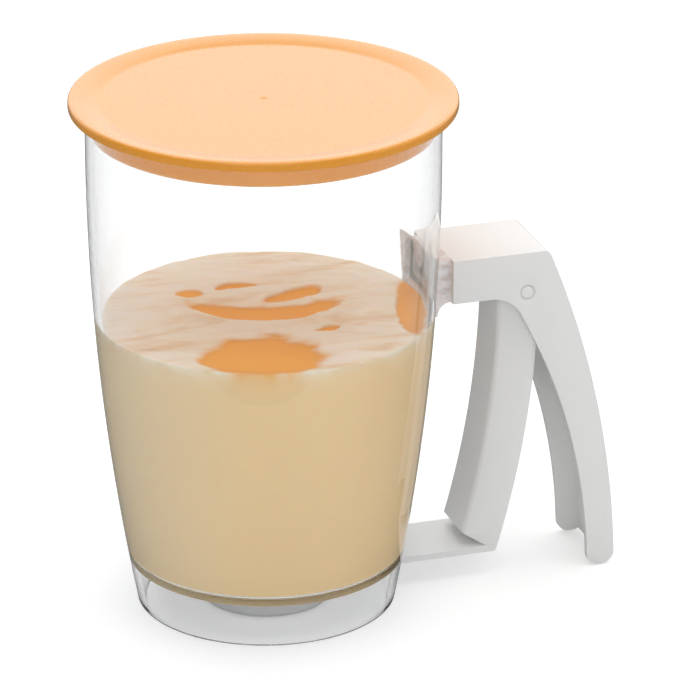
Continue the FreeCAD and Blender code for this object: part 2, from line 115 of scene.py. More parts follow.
class LidSizes(bpy.types.PropertyGroup):
    dish_radius: FloatProperty(name="Dish radius", description="Radius of the flat middle",
                               default=57 * MM, unit="LENGTH")
    dish_depth: FloatProperty(name="Dish depth", description="How far the middle lies below the rim",
                              default=1.3 * MM, unit="LENGTH")
    edge: FloatProperty(name="Edge", description="Rounding of the rim",
                        default=1.1 * MM, unit="LENGTH")
    plug_wall: FloatProperty(name="Plug wall", description="Thickness of the plug ring",
                             default=2.2 * MM, unit="LENGTH")
    plug_play: FloatProperty(name="Plug play", description="Clearance of the plug in the mouth",
                             default=0.4 * MM, unit="LENGTH")
    colour: FloatVectorProperty(name="Colour", description="Colour of the lid", size=3,
                                subtype="COLOR", min=0, max=1, default=(0.88, 0.36, 0.035))


class HandleSizes(bpy.types.PropertyGroup):
    wall: FloatProperty(name="Wall", description="Wall of the bracket and grip",
                        default=2.5 * MM, unit="LENGTH")
    bracket_height: FloatProperty(name="Bracket height", description="Height of the bracket's end",
                                  default=16.1 * MM, unit="LENGTH")
    floor_end: FloatProperty(name="Floor end", description="Where the bracket's floor stops",
                             default=79 * MM, unit="LENGTH")
    edge: FloatProperty(name="Edge", description="Rounding of the outer edges",
                        default=2 * MM, unit="LENGTH")
    corner: FloatProperty(name="Corner", description="Rounding of the top rear corner",
                          default=3 * MM, unit="LENGTH")
    tip: FloatProperty(name="Tip", description="Rounding of the grip's tip",
                       default=4.2 * MM, unit="LENGTH")
    colour: FloatVectorProperty(name="Colour", description="Colour of the white plastic", size=3,
                                subtype="COLOR", min=0, max=1, default=(0.775, 0.78, 0.785))


class LeverSizes(bpy.types.PropertyGroup):
    front_half: FloatProperty(name="Front half width", description="Half width of the front face",
                              default=10.5 * MM, unit="LENGTH")
    rear_half: FloatProperty(name="Rear half width", description="Half width of the rear edges",
                             default=13.5 * MM, unit="LENGTH")
    depth: FloatProperty(name="Depth", description="Depth of the channel",
                         default=14 * MM, unit="LENGTH")
    wall: FloatProperty(name="Wall", description="Wall of the channel",
                        default=2.2 * MM, unit="LENGTH")
    edge: FloatProperty(name="Edge", description="Rounding of the front corners",
                        default=1.6 * MM, unit="LENGTH")
    arm_top: FloatProperty(name="Arm top", description="Height of the arm's upper face",
                           default=12.1 * MM, unit="LENGTH")
    arm_thick: FloatProperty(name="Arm thickness", description="Thickness of the arm",
                             default=2.4 * MM, unit="LENGTH")
    seat: FloatProperty(name="Seat radius", description="Radius of the arm's round end",
                        default=16 * MM, unit="LENGTH")
    hub: FloatProperty(name="Hub radius", description="Rounding of the lever about the pin",
                       default=7.5 * MM, unit="LENGTH")


class BatterLook(bpy.types.PropertyGroup):
    level: FloatProperty(name="Level", description="Height of the batter's surface",
                         default=108 * MM, unit="LENGTH")
    swell: FloatProperty(name="Swell", description="Height of the folds in the froth",
                         default=4.0 * MM, unit="LENGTH")
    body: FloatVectorProperty(name="Body", description="Colour of the batter", size=3,
                              subtype="COLOR", min=0, max=1, default=(0.98, 0.72, 0.41))
    froth: FloatVectorProperty(name="Froth", description="Colour of the froth", size=3,
                               subtype="COLOR", min=0, max=1, default=(1.0, 0.92, 0.80))
    pool: FloatVectorProperty(name="Pools", description="Colour of the smooth pools", size=3,
                              subtype="COLOR", min=0, max=1, default=(0.93, 0.42, 0.035))


GROUPS = {
    "dispenser_cup": CupSizes,
    "dispenser_lid": LidSizes,
    "dispenser_handle": HandleSizes,
    "dispenser_lever": LeverSizes,
    "dispenser_batter": BatterLook,
}


def circle_of(a, middle, b):
    """Centre and radius of the circle through three points of a flat outline."""
    ax, ay = a
    bx, by = middle
    cx, cy = b
    aa, bb, cc = ax**2 + ay**2, bx**2 + by**2, cx**2 + cy**2
    d = 2 * (ax * (by - cy) + bx * (cy - ay) + cx * (ay - by))
    x = (aa * (by - cy) + bb * (cy - ay) + cc * (ay - by)) / d
    y = (aa * (cx - bx) + bb * (ax - cx) + cc * (bx - ax)) / d
    return x, y, math.hypot(ax - x, ay - y)


def arc_through(a, middle, b, count):
    """Points of the arc from the first point through the middle one, without the first."""
    cx, cy, radius = circle_of(a, middle, b)
    start, through, end = (math.atan2(y - cy, x - cx) for x, y in (a, middle, b))
    turn = (end - start) % math.tau
    if (through - start) % math.tau > turn:
        turn -= math.tau
    return [(cx + radius * math.cos(start + turn * i / count),
             cy + radius * math.sin(start + turn * i / count)) for i in range(1, count + 1)]


def circle_x(a, middle, b):
    """The x of a circle through three points, as a function of height, on its right side."""
    cx, cy, radius = circle_of(a, middle, b)
    return lambda z: cx + math.sqrt(radius**2 - (z - cy)**2)


def round_corner(outline, corner, radius, count=8):
    """Put an arc in place of one corner of a closed outline, and drop the points that it passes."""
    place = Vector(corner)
    points = [Vector(p) for p in outline]
    total = len(points)
    at = min(range(total), key=lambda k: (points[k] - place).length)
    reach = radius
    for _ in range(3):
        after = next(k for k in range(1, total) if (points[(at + k) % total] - place).length > reach)
        before = next(k for k in range(1, total) if (points[at - k] - place).length > reach)
        u = (points[at - before] - place).normalized()
        v = (points[(at + after) % total] - place).normalized()
        half = u.angle(v) / 2
        reach = radius / math.tan(half)
    way = (u + v).normalized()
    start = place + u * reach
    middle = place + way * (radius / math.sin(half) - radius)
    kept = [tuple(points[(at + k) % total]) for k in range(after, total - before + 1)]
    return kept + [tuple(start)] + arc_through(start, middle, place + v * reach, count)


def held(outline, margin=0.4 * MM, long=4.5 * MM):
    """Add points near both ends of each long segment, so that smooth faces bend only there."""
    points = []
    for i, a in enumerate(outline):
        b = outline[(i + 1) % len(outline)]
        points.append(a)
        length = math.hypot(b[0] - a[0], b[1] - a[1])
        if length > long and (a[0] > 0 or b[0] > 0):
            share = margin / length
            points += [(a[0] + (b[0] - a[0]) * t, a[1] + (b[1] - a[1]) * t)
                       for t in (share, 1 - share)]
    return points


def finish_mesh(bm, name, sharp=35):
    """Turn a bmesh into an object with smooth faces and sharp edges above an angle."""
    bmesh.ops.remove_doubles(bm, verts=bm.verts, dist=1e-6)
    bmesh.ops.recalc_face_normals(bm, faces=bm.faces)
    mesh = bpy.data.meshes.new(name)
    bm.to_mesh(mesh)
    bm.free()
    mesh.shade_smooth()
    mesh.set_sharp_from_angle(angle=math.radians(sharp))
    obj = bpy.data.objects.new(name, mesh)
    bpy.context.scene.collection.objects.link(obj)
    return obj


def spun(outline, steps=160):
    """A solid turned about the Z axis from a closed outline of (radius, height) points."""
    bm = bmesh.new()
    verts = [bm.verts.new((r, 0, z)) for r, z in held(outline)]
    for i, vert in enumerate(verts):
        other = verts[(i + 1) % len(verts)]
        if vert.co.x > 0 or other.co.x > 0:
            bm.edges.new((vert, other))
    bmesh.ops.spin(bm, geom=bm.verts[:] + bm.edges[:], cent=(0, 0, 0), axis=(0, 0, 1),
                   angle=math.tau, steps=steps, use_merge=True, use_duplicate=False)
    bmesh.ops.remove_doubles(bm, verts=bm.verts, dist=1e-6)
    return bm


def slab(outline, half):
    """A solid pulled to both sides from an (x, z) outline."""
    bm = bmesh.new()
    face = bm.faces.new([bm.verts.new((x, -half, z)) for x, z in outline])
    pulled = bmesh.ops.extrude_face_region(bm, geom=[face])
    verts = [v for v in pulled["geom"] if isinstance(v, bmesh.types.BMVert)]
    bmesh.ops.translate(bm, verts=verts, vec=(0, 2 * half, 0))
    bmesh.ops.recalc_face_normals(bm, faces=bm.faces)
    return bm


def same_y(edge):
    """True for an edge that lies level across the width, and doesn't run along it."""
    return abs(edge.verts[0].co.y - edge.verts[1].co.y) < 1e-6


def soften(bm, edges, size, segments=4):
    """Round some edges of a bmesh."""
    bmesh.ops.bevel(bm, geom=edges, offset=size, offset_type="OFFSET", affect="EDGES",
                    segments=segments, profile=0.5, material=-1, clamp_overlap=True)


def block(low, high):
    """A box between two corners."""
    bm = bmesh.new()
    bmesh.ops.create_cube(bm, size=1)
    size = Vector(high) - Vector(low)
    bmesh.ops.scale(bm, vec=size, verts=bm.verts)
    bmesh.ops.translate(bm, vec=(Vector(high) + Vector(low)) / 2, verts=bm.verts)
    return bm


def rod(centre, radius, half, segments=64):
    """A solid cylinder along Y."""
    bm = bmesh.new()
    bmesh.ops.create_cone(bm, cap_ends=True, segments=segments, radius1=radius, radius2=radius,
                          depth=2 * half)
    bmesh.ops.rotate(bm, cent=(0, 0, 0), matrix=Matrix.Rotation(math.pi / 2, 3, "X"), verts=bm.verts)
    bmesh.ops.translate(bm, vec=centre, verts=bm.verts)
    return bm


def combine(obj, bm, operation):
    """Cut, join or trim an object with a closed bmesh, and keep the plain result."""
    tool = finish_mesh(bm, "tool")
    modifier = obj.modifiers.new(operation.lower(), "BOOLEAN")
    modifier.operation = operation
    modifier.solver = "EXACT"
    modifier.object = tool
    bake(obj)
    drop(tool)


def drop(obj):
    """Remove an object and its mesh."""
    mesh = obj.data
    bpy.data.objects.remove(obj)
    bpy.data.meshes.remove(mesh)


def taken_apart(obj):
    """Move an object's mesh into a bmesh, and drop the object."""
    bm = bmesh.new()
    bm.from_mesh(obj.data)
    drop(obj)
    return bm


def bake(obj):
    """Apply every modifier of an object to its mesh."""
    bpy.context.view_layer.update()
    evaluated = obj.evaluated_get(bpy.context.evaluated_depsgraph_get())
    mesh = bpy.data.meshes.new_from_object(evaluated)
    old = obj.data
    obj.modifiers.clear()
    obj.data = mesh
    bpy.data.meshes.remove(old)
    mesh.name = obj.name


def tidy(obj, bevel=0.0, sharp=35, segments=2):
    """Merge, soften the edges that are still sharp, and shade smooth between them."""
    bm = bmesh.new()
    bm.from_mesh(obj.data)
    bmesh.ops.remove_doubles(bm, verts=bm.verts, dist=2e-6)
    bmesh.ops.dissolve_degenerate(bm, dist=2e-6, edges=bm.edges)
    bmesh.ops.recalc_face_normals(bm, faces=bm.faces)
    bm.to_mesh(obj.data)
    bm.free()
    if bevel:
        modifier = obj.modifiers.new("bevel", "BEVEL")
        modifier.width = bevel
        modifier.segments = segments
        modifier.limit_method = "ANGLE"
        modifier.angle_limit = math.radians(sharp)
        modifier.use_clamp_overlap = True
        modifier.harden_normals = False
        bake(obj)
    obj.data.shade_smooth()
    obj.data.set_sharp_from_angle(angle=math.radians(sharp))


def dress(obj, material, body, node=None):
    """Give a piece its material and its body, and hide the CAD part that it stands for."""
    obj.data.materials.clear()
    obj.data.materials.append(material)
    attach(obj, body)
    if node:
        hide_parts(node)


def new_material(name):
    """A material with its nodes, its links and its shader."""
    material = bpy.data.materials.new(name)
    material.use_nodes = True
    nodes = material.node_tree.nodes
    return material, nodes, material.node_tree.links, nodes["Principled BSDF"]


def feed(links, socket, value):
    """Put a plain value on a socket, or link another node's output to it."""
    if isinstance(value, bpy.types.NodeSocket):
        links.new(value, socket)
    else:
        socket.default_value = value


def fill(node, values):
    """Set plain values on the named inputs of a node."""
    for name, value in values.items():
        node.inputs[name].default_value = value


def calculated(nodes, links, operation, *values, clamp=False):
    """The result of a math node on plain numbers or other nodes' outputs."""
    node = nodes.new("ShaderNodeMath")
    node.operation = operation
    node.use_clamp = clamp
    for socket, value in zip(node.inputs, values):
        feed(links, socket, value)
    return node.outputs["Value"]


def mixed(nodes, links, factor, first, second, blend="MIX"):
    """The colour between two colours, or another blend of them."""
    mix = nodes.new("ShaderNodeMix")
    mix.data_type = "RGBA"
    mix.blend_type = blend
    for name, value in (("Factor", factor), ("A", first), ("B", second)):
        feed(links, mix.inputs[name], value)
    return mix.outputs["Result"]


def multiplied(nodes, links, first, second):
    """The product of two colours."""
    return mixed(nodes, links, 1.0, first, second, "MULTIPLY")


def mixed_shader(nodes, links, factor, first, second):
    """The surface between two surfaces."""
    mix = nodes.new("ShaderNodeMixShader")
    for socket, value in zip(mix.inputs, (factor, first, second)):
        feed(links, socket, value)
    return mix.outputs["Shader"]


def noted(nodes, name):
    """A value that the mesh keeps on its points."""
    node = nodes.new("ShaderNodeAttribute")
    node.attribute_name = name
    return node.outputs["Fac"]


def object_place(nodes):
    """The piece's own coordinates."""
    return nodes.new("ShaderNodeTexCoord").outputs["Object"]


def object_noise(nodes, links, scale, detail=3.0, roughness=0.5, stretch=(1, 1, 1), turn=0.0):
    """Noise on the piece's own coordinates."""
    mapping = nodes.new("ShaderNodeMapping")
    fill(mapping, {"Scale": stretch, "Rotation": (0, 0, turn)})
    grain = nodes.new("ShaderNodeTexNoise")
    fill(grain, {"Scale": scale, "Detail": detail, "Roughness": roughness})
    links.new(object_place(nodes), mapping.inputs["Vector"])
    links.new(mapping.outputs["Vector"], grain.inputs["Vector"])
    return grain.outputs["Fac"]


def ramp(nodes, links, source, stops):
    """A colour for each value of an output, from stops of a place and a colour."""
    node = nodes.new("ShaderNodeValToRGB")
    elements = node.color_ramp.elements
    while len(elements) < len(stops):
        elements.new(0.5)
    for element, (place, colour) in zip(elements, stops):
        element.position = place
        element.color = colour
    links.new(source, node.inputs["Fac"])
    return node.outputs["Color"]


def add_bump(nodes, links, shader, height, distance, strength=1.0):
    """Tilt a shader's surface by a height, of which 1 stands for a distance in metres."""
    bump = nodes.new("ShaderNodeBump")
    fill(bump, {"Strength": strength, "Distance": distance})
    links.new(height, bump.inputs["Height"])
    links.new(bump.outputs["Normal"], shader.inputs["Normal"])


def grey(value):
    return (value, value, value, 1)


def tinted(colour, factors):
    """A colour with each of its parts multiplied by its own factor."""
    return tuple(min(1.0, c * f) for c, f in zip(colour, factors)) + (1,)


def shade(colour, factor):
    """A colour made darker or lighter."""
    return tinted(colour, (factor, factor, factor))


# The lug within the clear plastic, and how much of its look is haze
LUG_FROM = 58.0 * MM
LUG_LOW = 102.9 * MM
LUG_HAZE = 0.8


def lug_share(nodes, links):
    """How cloudy the clear plastic is: only in the block of the lug, by height and reach."""
    split = nodes.new("ShaderNodeSeparateXYZ")
    links.new(object_place(nodes), split.inputs["Vector"])
    share = LUG_HAZE
    for axis, operation, limit in (("X", "GREATER_THAN", LUG_FROM), ("Z", "GREATER_THAN", LUG_LOW),
                                   ("Z", "LESS_THAN", BRACKET_TOP + MM)):
        inside = calculated(nodes, links, operation, split.outputs[axis], limit)
        share = calculated(nodes, links, "MULTIPLY", inside, share)
    return share


def clear_plastic(tint):
    """Clear moulded plastic: glass-like, faintly wavy, with painted shade greying its edges, and it lets
    light in.
    """
    material, nodes, links, shader = new_material("clear_plastic")
    # Painted shade: the colour greys towards the silhouette, standing in for the darker surroundings
    # seen through the wall's edges
    weight = nodes.new("ShaderNodeLayerWeight")
    fill(weight, {"Blend": 0.5})
    edge = ramp(nodes, links, weight.outputs["Facing"],
                [(0.0, (*tint, 1)), (0.3, shade(tint, 0.985)), (0.75, shade(tint, 0.87)),
                 (1.0, shade(tint, 0.82))])
    links.new(edge, shader.inputs["Base Color"])
    fill(shader, {"Transmission Weight": 1.0, "IOR": 1.47})
    fine = object_noise(nodes, links, 260, 2, 0.5)
    rough = ramp(nodes, links, fine, [(0.3, grey(0.0)), (0.75, grey(0.035))])
    links.new(rough, shader.inputs["Roughness"])
    wave = object_noise(nodes, links, 22, 1, 0.4, (1, 1, 0.35))
    add_bump(nodes, links, shader, wave, 0.00012, 0.35)
    # The thick lug is a little cloudy; the pink in its haze is the batter's colour seen through it,
    # painted in, and its dark and white flecks are painted glints
    haze = nodes.new("ShaderNodeBsdfDiffuse")
    painted_glint_noise = object_noise(nodes, links, 420, 3, 0.7, (0.5, 1, 1))
    haze_with_painted_tint = ramp(nodes, links, painted_glint_noise, [(0.35, (0.80, 0.72, 0.69, 1)), (0.5, (0.93, 0.89, 0.88, 1)),
                                         (0.62, (1, 1, 1, 1))])
    links.new(haze_with_painted_tint, haze.inputs["Color"])
    cloudy = mixed_shader(nodes, links, lug_share(nodes, links), shader.outputs["BSDF"],
                          haze.outputs["BSDF"])
    # Light on its way to other pieces goes straight through
    through = nodes.new("ShaderNodeBsdfTransparent")
    fill(through, {"Color": (0.97, 0.975, 0.98, 1)})
    path = nodes.new("ShaderNodeLightPath")
    passing = calculated(nodes, links, "MAXIMUM", path.outputs["Is Shadow Ray"],
                         path.outputs["Is Diffuse Ray"])
    surface = mixed_shader(nodes, links, passing, cloudy, through.outputs["BSDF"])
    links.new(surface, nodes["Material Output"].inputs["Surface"])
    return material


def moulded(name, colour, roughness, grain, coat=0.0, subsurface=0.0):
    """Opaque moulded plastic with a fine grain, slow unevenness and a soft gloss."""
    material, nodes, links, shader = new_material(name)
    slow = object_noise(nodes, links, 35, 3, 0.55)
    tone = ramp(nodes, links, slow, [(0.3, shade(colour, 0.985)), (0.7, shade(colour, 1.015))])
    links.new(tone, shader.inputs["Base Color"])
    fine = object_noise(nodes, links, 1400, 2, 0.6)
    rough = ramp(nodes, links, fine,
                 [(0.25, grey(roughness * 0.85)), (0.75, grey(roughness * 1.2))])
    links.new(rough, shader.inputs["Roughness"])
    add_bump(nodes, links, shader, fine, grain, 0.5)
    fill(shader, {"Coat Weight": coat, "Coat Roughness": 0.12,
                  "Subsurface Weight": subsurface, "Subsurface Scale": 0.002})
    return material


def steel(name, colour, roughness, stretch):
    """Drawn or turned steel, with lines along one direction."""
    material, nodes, links, shader = new_material(name)
    fill(shader, {"Metallic": 1.0})
    lines = object_noise(nodes, links, 900, 3, 0.6, stretch)
    tone = ramp(nodes, links, lines, [(0.3, shade(colour, 0.9)), (0.7, shade(colour, 1.1))])
    links.new(tone, shader.inputs["Base Color"])
    rough = ramp(nodes, links, lines,
                 [(0.3, grey(roughness * 0.8)), (0.7, grey(roughness * 1.25))])
    links.new(rough, shader.inputs["Roughness"])
    add_bump(nodes, links, shader, lines, 0.00002, 0.4)
    return material


# The photograph looks 18 degrees round from the -Y side
VIEW_TURN = math.radians(-18)


def across_view(nodes, links, offset, scale, length=False):
    """A place on the piece along the photograph's width, depth and height: its first or its length."""
    turned = nodes.new("ShaderNodeVectorRotate")
    turned.rotation_type = "Z_AXIS"
    fill(turned, {"Angle": -VIEW_TURN})
    mapping = nodes.new("ShaderNodeMapping")
    fill(mapping, {"Location": offset, "Scale": scale})
    links.new(object_place(nodes), turned.inputs["Vector"])
    links.new(turned.outputs["Vector"], mapping.inputs["Vector"])
    if length:
        size = nodes.new("ShaderNodeVectorMath")
        size.operation = "LENGTH"
        links.new(mapping.outputs["Vector"], size.inputs[0])
        return size.outputs["Value"]
    split = nodes.new("ShaderNodeSeparateXYZ")
    links.new(mapping.outputs["Vector"], split.inputs["Vector"])
    return split.outputs["X"]


def batter_material(look):
    """Batter: pale froth on its folds with painted shade in the valleys, deeper pools in its hollows,
    and a body below with painted light and shade across it.
    """
    material, nodes, links, shader = new_material("batter")
    body = tuple(look.body)
    froth = tuple(look.froth)
    pool = tuple(look.pool)
    white = (1, 1, 1)
    # Painted light: the body is paler and cooler towards the left of the view and a little darker
    # towards the right
    painted_side_light = ramp(nodes, links, across_view(nodes, links, (0.5, 0, 0), (8.5, 0, 0)),
                    [(0.1, tinted(body, (0.95, 1.06, 1.25))), (0.45, (*body, 1)),
                     (0.85, shade(body, 0.97))])
    slow = object_noise(nodes, links, 28, 3, 0.5, (1, 1, 0.6))
    drift = ramp(nodes, links, slow, [(0.3, grey(0.965)), (0.7, grey(1.0))])
    plain = multiplied(nodes, links, painted_side_light, drift)
    # Painted shade: a faint darker half round on the body under the front pool
    painted_pool_shade = ramp(nodes, links, across_view(nodes, links, (0, 1.83, -8.64), (58, 33, 80), True),
                [(0.93, tinted(white, (0.955, 0.965, 0.93))), (0.99, grey(1.0))])
    side = multiplied(nodes, links, plain, painted_pool_shade)
    lines = object_noise(nodes, links, 120, 5, 0.6, (0.22, 1, 1), -VIEW_TURN)
    streaks = ramp(nodes, links, lines,
                   [(0.36, tinted(froth, (0.90, 0.79, 0.64))),
                    (0.47, tinted(froth, (0.985, 0.96, 0.91))), (0.58, (*froth, 1))])
    # Painted shade: the froth is darker down in the valleys between its folds
    painted_valley_shade = ramp(nodes, links, noted(nodes, "fold"),
                  [(0.2, tinted(white, (0.90, 0.80, 0.66))), (0.5, grey(1.0))])
    cream = multiplied(nodes, links, streaks, painted_valley_shade)
    deep = ramp(nodes, links, slow, [(0.3, shade(pool, 0.93)), (0.7, shade(pool, 1.05))])
    top = mixed(nodes, links, noted(nodes, "pool"), cream, deep)
    cover = noted(nodes, "top")
    seen = mixed(nodes, links, cover, side, top)
    # Its bounce on the white pieces is kept pale
    path = nodes.new("ShaderNodeLightPath")
    colour = mixed(nodes, links, path.outputs["Is Diffuse Ray"], seen, (0.5, 0.49, 0.48, 1))
    links.new(colour, shader.inputs["Base Color"])
    ripple = calculated(nodes, links, "MULTIPLY", lines, cover)
    add_bump(nodes, links, shader, ripple, 0.0007, 0.45)
    fill(shader, {"Roughness": 0.5, "Specular IOR Level": 0.15, "Subsurface Weight": 0.35,
                  "Subsurface Radius": (1.0, 0.6, 0.3), "Subsurface Scale": 0.003})
    return material


def cup_radius(sizes, z):
    """Outer radius of the cup: one arc below the straight band."""
    fall = MOUTH_R - sizes.base_radius
    side = (sizes.straight_from**2 + fall**2) / (2 * fall)
    below = max(0.0, sizes.straight_from - z)
    return MOUTH_R - side + math.sqrt(side**2 - below**2)


def floor_edge_radius(sizes):
    """Inner radius of the chamber where its floor ends."""
    return cup_radius(sizes, sizes.floor_edge) - sizes.wall


def floor_height(sizes, radius):
    """Height of the funnel floor at a radius."""
    share = (radius - sizes.outlet_radius) / (floor_edge_radius(sizes) - sizes.outlet_radius)
    return sizes.floor_edge - sizes.floor_fall * (1 - share)


def side_points(sizes, inset, low, high, count):
    """Points up the cup's side, or inside it, between two heights."""
    return [(cup_radius(sizes, low + (high - low) * i / count) - inset,
             low + (high - low) * i / count) for i in range(count + 1)]


# Rounding between the chamber's floor and its wall
FLOOR_CORNER = 4.0 * MM


def chamber_line(sizes, inset, top):
    """The inner wall from the outlet's mouth up to a height."""
    edge_r = floor_edge_radius(sizes)
    corner_r = edge_r - FLOOR_CORNER
    wall_z = sizes.floor_edge + FLOOR_CORNER
    bend = FLOOR_CORNER * BEND
    line = [(sizes.outlet_radius, floor_height(sizes, sizes.outlet_radius)),
            (corner_r, floor_height(sizes, corner_r))]
    line += arc_through(line[-1], (edge_r - bend, sizes.floor_edge + bend),
                        (cup_radius(sizes, wall_z) - sizes.wall, wall_z), 10)
    line += side_points(sizes, sizes.wall, wall_z, min(top, sizes.straight_from), 24)[1:]
    if top > sizes.straight_from:
        line.append((MOUTH_R - sizes.wall, top))
    return [(r + inset, z) for r, z in line]


# The tongue of the cup that the bracket's end wall lets in
TONGUE_HALF = 10.8 * MM
TONGUE_HEIGHT = 8.0 * MM
TONGUE_FIT = 0.15 * MM


class DISPENSER_OT_cup(bpy.types.Operator):
    """Model the clear cup with its funnel floor, skirt and lug"""
    bl_idname = "dispenser.cup"
    bl_label = "Cup"

    def execute(self, context):
        s = context.scene.dispenser_cup
        h = context.scene.dispenser_handle
        neck = s.outlet_radius + s.outlet_wall
        under = s.floor_edge - s.floor_thick
        round_r = 0.8 * MM
        rim = arc_through((MOUTH_R - s.wall, CUP_HEIGHT - round_r),
                          (MOUTH_R - s.wall / 2, CUP_HEIGHT), (MOUTH_R, CUP_HEIGHT - round_r), 10)
        outer = side_points(s, 0, 0, s.straight_from, 40)
        inner_skirt = side_points(s, s.wall, 0, under, 14)
        outline = [(s.outlet_radius, s.outlet_lip)]
        outline += chamber_line(s, 0, CUP_HEIGHT - round_r)
        outline += rim
        outline += outer[::-1]
        outline += inner_skirt
        outline += [(neck, floor_height(s, neck) - s.floor_thick), (neck, s.outlet_lip)]
        cup = finish_mesh(spun(outline, 192), "clear_cup")
        self.gap(cup, s)
        self.lug(cup, s, h)
        tidy(cup, 0.0, 32)
        dress(cup, clear_plastic(tuple(s.tint)), BODY, "cup")
        return {"FINISHED"}

    def gap(self, cup, s):
        """Cut the notch in the skirt for the arm."""
        bm = block((cup_radius(s, 0) - 2.5 * s.wall, -s.gap_half, -MM),
                   (cup_radius(s, 0) + 2 * s.wall, s.gap_half, s.gap_top))
        top = [e for e in bm.edges if same_y(e) and all(v.co.z > 0 for v in e.verts)]
        soften(bm, top, 2.5 * MM, 6)
        combine(cup, bm, "DIFFERENCE")

    def lug(self, cup, s, h):
        """Join the lug and the tongue that the bracket slides over."""
        bottom = BRACKET_TOP - h.bracket_height
        half = HANDLE_HALF - h.wall
        gusset = 5 * MM
        foot = (cup_radius(s, bottom - gusset) - 0.4 * MM, bottom - gusset)
        bend = gusset * BEND
        inside_x = cup_radius(s, bottom) - s.wall * 0.55
        outline = [(inside_x - 0.8 * MM, foot[1]), foot]
        outline += arc_through(foot, (foot[0] + bend, bottom - bend),
                               (BRACKET_START, bottom), 10)
        outline += [(BRACKET_START, BRACKET_TOP), (inside_x, BRACKET_TOP)]
        bm = slab(outline, half)
        top = [e for e in bm.edges
               if same_y(e) and all(v.co.z > BRACKET_TOP - MM / 10 for v in e.verts)]
        soften(bm, top, 2.5 * MM, 5)
        lug = finish_mesh(bm, "lug")
        # The chamber round the lug's height, so that the lug stays within the wall
        low, high = 90 * MM, 150 * MM
        chamber = [(0, low), *chamber_line(s, 0.3 * MM, high)[12:], (0, high)]
        combine(lug, spun(chamber, 192), "DIFFERENCE")
        combine(cup, taken_apart(lug), "UNION")
        low = bottom + h.wall + TONGUE_FIT
        tongue = block((BRACKET_START - MM, -TONGUE_HALF, low),
                       (TONGUE_END, TONGUE_HALF, low + TONGUE_HEIGHT))
        ends = [e for e in tongue.edges
                if same_y(e) and all(v.co.x > TONGUE_END - MM / 10 for v in e.verts)]
        soften(tongue, ends, 2.5 * MM, 4)
        combine(cup, tongue, "UNION")


class DISPENSER_OT_lid(bpy.types.Operator):
    """Model the lid: a softly dished disc with a plug ring"""
    bl_idname = "dispenser.lid"
    bl_label = "Lid"

    def execute(self, context):
        s = context.scene.dispenser_lid
        wall = context.scene.dispenser_cup.wall
        dish = LID_TOP - s.dish_depth
        low = CUP_HEIGHT
        plug = MOUTH_R - wall - s.plug_play
        nose = s.plug_wall / 2
        bend = s.edge * BEND
        rim = (LID_R - s.edge, LID_TOP)
        # The small round mark that moulding leaves in the middle
        mark = 1.6 * MM
        mark_floor = dish - 0.25 * MM
        outline = [(0, mark_floor), (0.5 * mark, mark_floor)]
        outline += arc_through(outline[-1], (0.85 * mark, dish - 0.08 * MM), (1.15 * mark, dish), 4)
        outline += [(s.dish_radius * i / 4, dish) for i in range(1, 5)]
        outline += arc_through(outline[-1],
                               ((s.dish_radius + rim[0]) / 2, dish + 0.7 * s.dish_depth), rim, 8)
        outline += arc_through(rim, (LID_R - bend, LID_TOP - bend), (LID_R, LID_TOP - s.edge), 6)
        outline.append((LID_R, low + s.edge))
        outline += arc_through(outline[-1], (LID_R - bend, low + bend), (LID_R - s.edge, low), 6)
        outline += [(plug, low), (plug, PLUG_LOW + nose)]
        outline += arc_through(outline[-1], (plug - nose, PLUG_LOW),
                               (plug - s.plug_wall, PLUG_LOW + nose), 8)
        outline += [(plug - s.plug_wall, low), (0, low)]
        lid = finish_mesh(spun(outline, 200), "orange_lid", 40)
        dress(lid, self.plastic(s), LID_BODY, "lid")
        return {"FINISHED"}

    def plastic(self, s):
        """Glossy orange plastic, thin enough to let some of the light down on the batter."""
        material = moulded("lid_plastic", tuple(s.colour), 0.25, 0.00003, 0.55, 0.08)
        nodes = material.node_tree.nodes
        links = material.node_tree.links
        path = nodes.new("ShaderNodeLightPath")
        let_in = 0.75
        part = calculated(nodes, links, "MULTIPLY", path.outputs["Is Shadow Ray"], let_in)
        through = nodes.new("ShaderNodeBsdfTransparent")
        fill(through, {"Color": (1, 0.94, 0.87, 1)})
        surface = mixed_shader(nodes, links, part, nodes["Principled BSDF"].outputs["BSDF"],
                               through.outputs["BSDF"])
        links.new(surface, nodes["Material Output"].inputs["Surface"])
        return material


# Side outline of the grip; its back is one long arc
BACK_TOP = (99.8 * MM, BRACKET_TOP)
BACK_MIDDLE = (117.0 * MM, 72.7 * MM)
BACK_LOW = (GRIP_BACK, GRIP_TIP_Z)
INNER_LOW = (116.3 * MM, GRIP_TIP_Z)
INNER_MIDDLE = (107.3 * MM, 58.6 * MM)
INNER_HIGH = (90.3 * MM, 100.0 * MM)
THROAT_MIDDLE = (86.2 * MM, 105.6 * MM)
INNER_LINE = circle_x(INNER_HIGH, INNER_MIDDLE, INNER_LOW)
PIN_SINK = 0.8 * MM
PIN_SINK_R = 2.9 * MM


